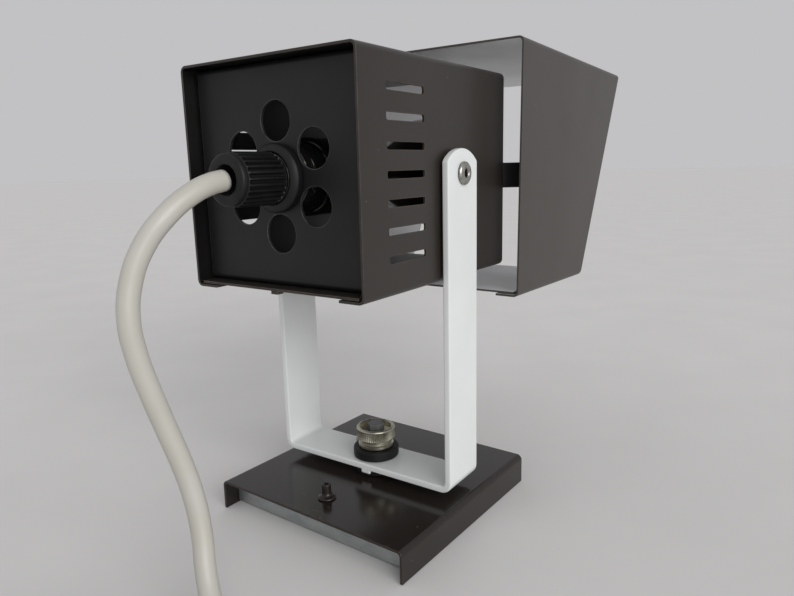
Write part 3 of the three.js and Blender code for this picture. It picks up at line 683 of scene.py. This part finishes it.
turnedFittings = {
    # profile is (radius, height) pairs; those on the head are turned to lie along Y
    "upperWasher": {
        "body": "yoke", "slot": "black_plastic", "finish": "rubber", "node": "upper_washer", "soft": 0.6,
        "profile": [(3.4, 20.6), (10.4, 20.6), (10.4, 24.9), (3.4, 24.9)],
    },
    "lowerWasher": {
        "body": "base", "slot": "black_plastic", "finish": "rubber", "node": "lower_washer", "soft": 0.4,
        "profile": [(3.4, 13.8), (10, 13.8), (10, 17.0), (3.4, 17.0)],
    },
    "holderCollar": {
        "body": "head", "slot": "holder_plastic", "finish": "blackPlastic", "node": "holder_collar", "soft": 0.3,
        "profile": [(9.3, 53.7), (12.3, 53.7), (12.3, 55.9), (11.4, 57.0), (9.9, 57.6), (9.3, 57.6)],
    },
    "holderCap": {
        "body": "head", "slot": "holder_plastic", "finish": "glossPlastic", "node": "holder_cap", "soft": 0.3,
        "profile": [(4, 58.1), (7.4, 58.1), (9.0, 57.2), (9.0, 52.1), (12.4, 52.1), (13, 51.4), (13, 49),
                    (12.7, 48.6), (12.7, 47.8), (13, 47.4), (13, 40), (11.4, 40), (11.4, 48.5), (4, 48.5)],
    },
    "holderSkirt": {
        "body": "head", "slot": "holder_plastic", "finish": "glossPlastic", "node": "holder_skirt", "soft": 0.3,
        "profile": [(12.8, 39.6), (12.8, 12), (13.6, 11), (14.6, 11), (14.6, 38.4), (13.4, 39.6)],
    },
    "holderInsert": {
        "body": "head", "slot": "ceramic", "finish": "ceramic", "node": "holder_insert", "soft": 0.4,
        "closed": False, "profile": [(0, 30.5), (11.6, 30.5), (11.6, 38), (0, 38)],
    },
    "screwShell": {
        "body": "head", "slot": "brass", "finish": "brass", "node": "screw_shell",
        "closed": False,
        "profile": [(0, 29.4), (7.6, 29.4), (7.6, 12.8), (7.8, 12.6), (8.1, 12.6), (8.3, 12.8), (8.3, 30.2),
                    (0, 30.2)],
    },
}


def makeTurnedFittings():
    for name, part in turnedFittings.items():
        bm = spun(part["profile"], 64, part.get("closed", True), part.get("soft", 0.0))
        if part["body"] == "head":
            moved(bm, alongY, toPivot)
        elif part["body"] == "base":
            moved(bm, turned(base["turn"], "Z"))
        soften(makePiece(name, bm, part["body"], [part["finish"]], [part["node"]]))


makeTurnedFittings()

nut = {
    "teeth": 60, "outer": 8.85, "root": 8.4,
    "profile": [(3.4, 25.2), (7.7, 25.2), (8.0, 25.45), (8.05, 26.5), (7.2, 27.0), (7.15, 27.5), (7.75, 27.9),
                (7.8, 28.8), (8.3, 29.1), (8.7, 29.4), (8.85, 29.8), (8.85, 33.2), (8.8, 33.7), (8.6, 34.15),
                (8.2, 34.4), (7.6, 34.4), (7.2, 34.1), (7.1, 31.6), (5.6, 30.4), (3.4, 30.4)],
}
rivet = [(0, 39.05), (2.7, 39.05), (3.4, 39.5), (3.5, 40.45), (2.4, 40.45), (2.4, 46.5), (4.5, 46.5),
         (4.5, 46.9), (4.3, 47.3), (3.9, 47.6), (3.3, 47.85), (2.6, 47.95), (2.1, 47.9), (1.75, 47.7),
         (1.55, 47.3), (1.5, 46.8), (1.5, 41.45), (0, 41.45)]


def makeNutAndRivets():
    steps = nut["teeth"] * 2
    bm = spun(nut["profile"], steps)
    pushIn(bm, steps, nut["outer"], nut["root"], 2, 29.6, 33.4)
    knob = makePiece("knurledNut", bm, "nut", ["nickel"], ["knurled_nut"])
    knob.data.set_sharp_from_angle(angle=math.radians(38))
    for side, node in ((180, "pivot_rivet_left"), (0, "pivot_rivet_right")):
        bm = moved(spun(rivet, 40, False), alongX, turned(side, "Z"), toPivot)
        soften(makePiece("rivet" + ("Left" if side else "Right"), bm, "yoke", ["steel"], [node]))


makeNutAndRivets()

print("housing")
housing = {
    "half": 41.75, "lip": 11.0, "front": -44.6, "rear": 59.4, "sheet": 1.0, "bend": 2.5,
    "slots": 7, "slotPitch": 9.65, "slotMiddle": (32.4, 0.4), "slotLength": 23.5, "slotWidth": 2.6,
    "slotCorner": 0.8,
}


def lipped(half, lip):
    edge = half - lip
    return [(-edge, -half), (-half, -half), (-half, half), (half, half), (half, -half), (edge, -half)]


def makeHousing():
    half = housing["half"]
    bm = foldedSheet(lipped(half, housing["lip"]), (housing["front"], housing["rear"]), housing["bend"])
    shell = makePiece("housingShell", moved(bm, toPivot), "head", ["brownPaint", "innerBlack"],
                      ["housing_shell"])
    thicken(shell, housing["sheet"], 1)
    cutters = addRod(bmesh.new(), holeRadius["rivet"], -60, 60, "X", (0, 0, 0), 32)
    y, z = housing["slotMiddle"]
    long, high = housing["slotLength"] / 2, housing["slotWidth"] / 2
    for k in range(housing["slots"]):
        level = z + (k - (housing["slots"] - 1) / 2) * housing["slotPitch"]
        addBox(cutters, (-60, y - long, level - high), (60, y + long, level + high), housing["slotCorner"])
    cutAway(shell, moved(cutters, toPivot))
    soften(shell, 0.18)


makeHousing()

rearPlate = {
    "y": 53.4, "flange": 8.0, "low": -39.25, "high": 40.45, "half": 39.65, "sheet": 1.0, "bend": 2.0,
    "vents": 6, "ventRadius": 7.1, "ventCircle": 20.0, "neck": 9.3,
}


def makeRearPlate():
    y, low, high, half = (rearPlate[key] for key in ("y", "low", "high", "half"))
    inside = y - rearPlate["flange"]
    bm = foldedSheet([(inside, low), (y, low), (y, high), (inside, high)], (-half, half),
                     rearPlate["bend"], "X")
    plate = makePiece("rearPlate", moved(bm, toPivot), "head", ["blackPaint"], ["rear_plate"])
    thicken(plate, rearPlate["sheet"])
    holes = addRod(bmesh.new(), rearPlate["neck"], -60, 60, "Y", (0, y, 0), 64)
    for k in range(rearPlate["vents"]):
        angle = math.pi / 2 + k * fullTurn / rearPlate["vents"]
        x, z = rearPlate["ventCircle"] * math.cos(angle), rearPlate["ventCircle"] * math.sin(angle)
        addRod(holes, rearPlate["ventRadius"], -6, 6, "Y", (x, y, z), 64)
    addRod(holes, holeRadius["earthScrew"], -45, -35, "Z", (0, earthScrewY, 0), 24)
    cutAway(plate, moved(holes, toPivot))
    soften(plate, 0.16)


makeRearPlate()

gland = {
    "flutes": 28, "outer": 9.35, "root": 8.25,
    "profile": [(4.1, 58.4), (9.1, 58.4), (9.35, 58.7), (9.35, 74.9), (9.1, 75.5), (8.75, 75.7), (8.75, 77.5),
                (8.5, 77.85), (8.1, 78.0), (5.6, 78.0), (5.2, 77.8), (5.0, 77.3), (4.6, 75.0), (4.1, 74.0)],
}


def makeGland():
    steps = gland["flutes"] * 4
    bm = spun(gland["profile"], steps)
    pushIn(bm, steps, gland["outer"], gland["root"], 4, 58.0, 75.2)
    grip = makePiece("cordGripNut", moved(bm, alongY, toPivot), "head", ["blackPlastic"],
                     ["cord_grip_nut"])
    grip.data.set_sharp_from_angle(angle=math.radians(38))


makeGland()

print("bulb")
bulb = {
    "outside": [(8, -58.9), (15, -57.3), (20.4, -54.6), (23.6, -51), (25, -46.6), (24.8, -42), (23, -37),
                (19.6, -30), (15.6, -22), (12.6, -14.6), (10.8, -8), (10, -3), (9.6, 0)],
    "wall": 1.0, "frostedFrom": -46.5, "gap": -0.3,
    "cap": [(0, 26.4), (2.4, 26.4), (3.4, 25.4), (6.4, 24), (7.1, 22.8)],
    "capEnd": [(7.1, 5.3), (7.9, 4.3), (7.9, 0.3), (0, 0.3)],
}


def makeBulb():
    wall = bulb["wall"]
    inside = [(r - wall, y + wall if y < bulb["frostedFrom"] else y) for r, y in bulb["outside"]]
    outline = [(0, -59.4)] + bulb["outside"] + inside[::-1] + [(0, -59.4 + wall)]
    bm = moved(spun(outline, 64, False), alongY, shifted(y=bulb["gap"]), toPivot)
    glass = makePiece("bulbGlass", bm, "bulb", ["mirrorGlass", "frostedGlass"], ["bulb_glass"])
    rounded = glass.modifiers.new("rounded", "SUBSURF")
    rounded.levels = rounded.render_levels = 1
    settle(glass)
    for face in glass.data.polygons:
        if face.center.y < (bulb["frostedFrom"] + 1.2) * mm:
            face.material_index = 1
    threads = [(6.6 + 0.5 * (k % 2), 22 - 1.1 * k) for k in range(1, 15)]
    bm = moved(spun(bulb["cap"] + threads + bulb["capEnd"], 48, False), alongY, toPivot)
    soften(makePiece("bulbCap", bm, "bulb", ["brass"], ["bulb_cap"]))


makeBulb()

print("hood")
hood = {
    "half": 54.5, "lip": 11.0, "rear": -35.3, "top": 133.0, "bottom": 80.4, "sheet": 1.0, "bend": 2.5,
    "tilt": 1.3, "hinge": (0, -42, -1.8), "floorInset": 2.8, "floorSheet": 0.9,
}


def makeHood():
    half, rear = hood["half"], hood["rear"]
    bm = foldedSheet(lipped(half, hood["lip"]), (rear - hood["top"] - 5, rear), hood["bend"])
    overhang = hood["top"] - hood["bottom"]
    bmesh.ops.bisect_plane(bm, geom=bm.verts[:] + bm.edges[:] + bm.faces[:], clear_outer=True,
                           plane_co=(0, rear - hood["bottom"], -half), plane_no=(0, -2 * half, -overhang))
    hinge = Vector(hood["hinge"])
    tilting = (Matrix.Translation(-hinge), turned(hood["tilt"], "X"), Matrix.Translation(hinge), toPivot)
    shell = makePiece("hoodShell", moved(bm, *tilting), "head", ["hoodPaint", "hoodWhite"],
                      ["hood_shell"])
    thicken(shell, hood["sheet"], 1)
    soften(shell, 0.2)

    wide, low = half - hood["floorInset"], -half + hood["sheet"] + gap
    front, back, top = rear - hood["bottom"] + 0.4, rear - 0.6, low + hood["floorSheet"]
    bm = addBox(bmesh.new(), (-wide, front, low), (wide, back, top))
    floor = makePiece("hoodFloor", moved(bm, *tilting), "head", ["hoodPaint", "hoodWhite"],
                      ["hood_floor"])
    for face in floor.data.polygons:
        if face.normal.z > 0.9:
            face.material_index = 1
    soften(floor, 0.15)


makeHood()

print("finishes for the frame's own pieces")
plainPieces = {
    "wall_plate": "zinc", "swivel_bolt": "steel", "pivot_spacer_left": "rubber", "pivot_spacer_right": "rubber",
    "housing_floor": "brownPaint", "earth_screw": "brass", "earth_tag": "brass", "earth_nut": "brass",
    "centre_contact": "brass", "terminal_screw_live": "brass", "terminal_screw_neutral": "brass",
    "live_wire": "wireBrown", "neutral_wire": "wireBlue",
    "hood_strap_left": "blackPaint", "hood_strap_right": "blackPaint",
}
for node, name in plainPieces.items():
    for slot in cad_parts[node].material_slots:
        slot.material = finish[name]

print("floor and light")
studio = {
    "floor": (226, 225, 223), "surround": (194, 193, 195), "floorSize": 12.0,
    "keyPower": 1.85, "keyFrom": (-0.86, 0.42, 0.30), "keySoftness": 50,
}


def makeStudio():
    bm = bmesh.new()
    bmesh.ops.create_grid(bm, x_segments=1, y_segments=1, size=studio["floorSize"])
    mesh = bpy.data.meshes.new("floor")
    bm.to_mesh(mesh)
    bm.free()
    floor = bpy.data.objects.new("floor", mesh)
    scene.collection.objects.link(floor)
    material = bpy.data.materials.new("floor")
    material.use_nodes = True
    tree = material.node_tree
    shader = tree.nodes["Principled BSDF"]
    shader.inputs["Roughness"].default_value = 0.75
    shader.inputs["Specular IOR Level"].default_value = 0.2
    tone = linear(studio["floor"])
    darker = tuple(part * 0.97 for part in tone[:3]) + (1.0,)
    patches = ranged(tree, noise(tree, 70, 4.0), 0.35, 0.65)
    connect(tree, mixed(tree, patches, tone, darker), shader.inputs["Base Color"])
    mesh.materials.append(material)

    world = bpy.data.worlds.new("studio")
    world.use_nodes = True
    scene.world = world
    world.node_tree.nodes["Background"].inputs["Color"].default_value = linear(studio["surround"])
    data = bpy.data.lights.new("key", "SUN")
    data.energy = studio["keyPower"]
    data.angle = math.radians(studio["keySoftness"])
    key = bpy.data.objects.new("key", data)
    scene.collection.objects.link(key)
    key.rotation_mode = "QUATERNION"
    key.rotation_quaternion = Vector(studio["keyFrom"]).to_track_quat("Z", "Y")


makeStudio()
